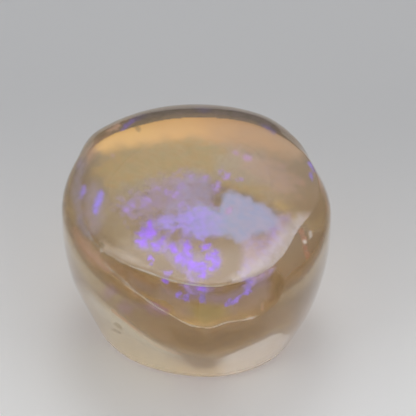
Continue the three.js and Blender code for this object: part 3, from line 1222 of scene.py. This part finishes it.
def makeSheet(name, settings):
    material, wiring = newMaterial(name)
    place = placeInStone(wiring)
    # Each sheet is black and glows by its own emission, so its colour is painted light that needs no lamp:
    # the fire's play of colour made to glow, and painted light, shade, highlights and reflections on the
    # other sheets
    surface = wiring.add("ShaderNodeBsdfPrincipled", {}, {
        "Base Color": (0, 0, 0),
        "Roughness": 1.0,
        "Specular IOR Level": 0.0,
        "Emission Color": sheetColour(wiring, place, settings),
        "Emission Strength": 1.0,
        "Alpha": sheetCover(wiring, place, settings),
    })
    wiring.add("ShaderNodeOutputMaterial", {}, {"Surface": surface})
    return addPiece(name, sheetMesh(name, settings), material)


for name, settings in sheets.items():
    makeSheet(name, {**plainSheet, **settings})
print("fire made")

# The floor, the light and the camera
stage = {
    "floorSize": 0.9,  # metres
    "floorGap": 0.00002,  # metres under the foot
    "floorNear": (0.97, 0.975, 0.98),  # the floor's colour in front of the stone and behind it, lighter in front as painted light
    "floorFar": (0.66, 0.668, 0.685),
    "floorFade": (-8.0, 14.0),  # mm back from the stone's middle, between which it changes
    "floorRoughness": 0.6,
    "floorGlow": 0.08,  # light of its own in front of the stone
    "sky": [(0.0, 0.42), (0.35, 0.60), (0.7, 0.55), (0.95, 0.12)],  # strength by the sine of the elevation
    # soft boxes round the stone: azimuth, elevation, inner and outer half angle, strength; the
    # ones below zero are dark flags
    "softBoxes": [(75, 45, 15, 42, 0.5), (345, 45, 12, 42, 0.3), (190, 38, 12, 40, 0.3),
                  (90, 64, 7, 15, 2.0), (216, 28, 4, 8, 2.5),
                  (270, 42, 8, 45, -0.3), (90, 4, 8, 30, -0.34)],
}


def makeFloor():
    half = stage["floorSize"] / 2
    mesh = bpy.data.meshes.new("floor")
    low = -stage["floorGap"]
    mesh.from_pydata([(-half, -half, low), (half, -half, low), (half, half, low), (-half, half, low)],
                     [], [(0, 1, 2, 3)])
    floor = bpy.data.objects.new("floor", mesh)
    bpy.context.scene.collection.objects.link(floor)
    material, wiring = newMaterial("paleFloor")
    # painted light: the floor is lighter in front of the stone than behind it, and glows a little in front
    fade = wiring.easeMm(wiring.along(placeInStone(wiring), 1), *stage["floorFade"])
    surface = wiring.add("ShaderNodeBsdfPrincipled", {}, {
        "Base Color": wiring.mixColour(fade, stage["floorNear"], stage["floorFar"]),
        "Roughness": stage["floorRoughness"],
        "Emission Color": wiring.mixColour(fade, (1, 1, 1), (0, 0, 0)),
        "Emission Strength": stage["floorGlow"],
    })
    wiring.add("ShaderNodeOutputMaterial", {}, {"Surface": surface})
    mesh.materials.append(material)


def makeLight():
    world = bpy.data.worlds.new("studio")
    bpy.context.scene.world = world
    world.use_nodes = True
    wiring = Wiring(world.node_tree)
    direction = wiring.add("ShaderNodeTexCoord", output=0)
    glow = wiring.add("ShaderNodeValToRGB", {"stops": stage["sky"]}, {"Fac": wiring.along(direction, 2)})
    glow = wiring.add("ShaderNodeRGBToBW", {}, {"Color": glow})
    for azimuth, elevation, inner, outer, strength in stage["softBoxes"]:
        turn, lift = math.radians(azimuth), math.radians(elevation)
        middle = (math.cos(turn) * math.cos(lift), math.sin(turn) * math.cos(lift), math.sin(lift))
        facing = wiring.add("ShaderNodeVectorMath", {"operation": "DOT_PRODUCT"},
                            {0: direction, 1: middle}, output=1)
        fromCos, toCos = math.cos(math.radians(outer)), math.cos(math.radians(inner))
        glow = wiring.ease(facing, fromCos, toCos) * strength + glow
    light = wiring.add("ShaderNodeBackground", {}, {"Color": (1, 1, 1), "Strength": glow})
    wiring.add("ShaderNodeOutputWorld", {}, {"Surface": light})


def makeCamera():
    camera = bpy.data.objects.new("camera", bpy.data.cameras.new("camera"))
    bpy.context.scene.collection.objects.link(camera)
    camera.data.lens, camera.data.sensor_width = view["lens"], view["sensor"]
    camera.data.clip_start, camera.data.clip_end = 0.001, 10
    camera.location = Vector(eye) * mm
    camera.rotation_mode = "QUATERNION"
    camera.rotation_quaternion = Vector(-towardsEye).to_track_quat("-Z", "Y")
    bpy.context.scene.camera = camera


makeFloor()
makeLight()
makeCamera()
scene = bpy.context.scene
scene.view_settings.view_transform = "Standard"
scene.cycles.max_bounces = 24
scene.cycles.transmission_bounces = 24
scene.cycles.glossy_bounces = 12
scene.cycles.transparent_max_bounces = 48
print("stage made")
